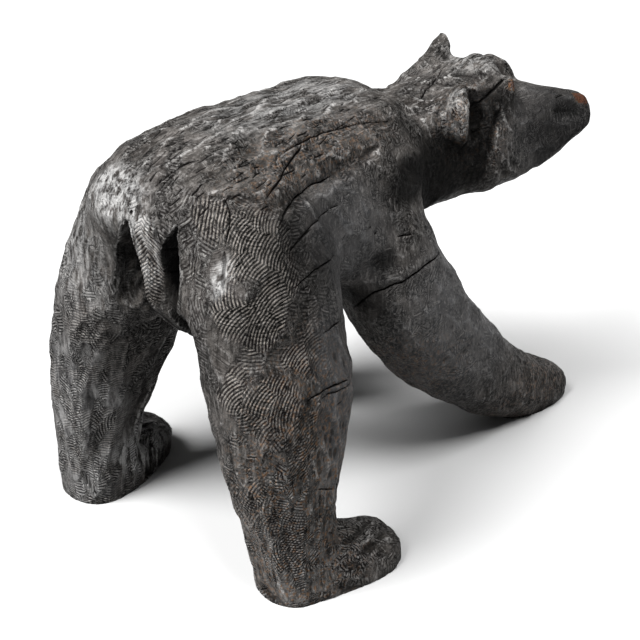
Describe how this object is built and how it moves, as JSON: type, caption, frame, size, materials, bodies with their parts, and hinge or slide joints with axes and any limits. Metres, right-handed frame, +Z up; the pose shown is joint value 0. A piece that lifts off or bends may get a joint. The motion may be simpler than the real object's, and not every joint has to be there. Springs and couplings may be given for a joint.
{
  "type": "carved wooden bear",
  "caption": "Walking bear carved from a log with a chainsaw, head turned to its right and right foreleg stretched forward, dark stained, every face left rough from the saw.",
  "frame": {"origin": "middle of the bounding box, at the soles", "axes": "+Z up; the bear walks towards -Y, so +X is its left side and +Y its rump; its head looks 35 degrees to its right of -Y"},
  "size_m": [0.5816, 0.8758, 0.6689],
  "materials": {
    "dark_stained_wood": "dark stain and oil over rough saw marks, satin on the worn ridges"
  },
  "bodies": {
    "root": {"carved_bear": "dark_stained_wood"}
  },
  "joints": []
}
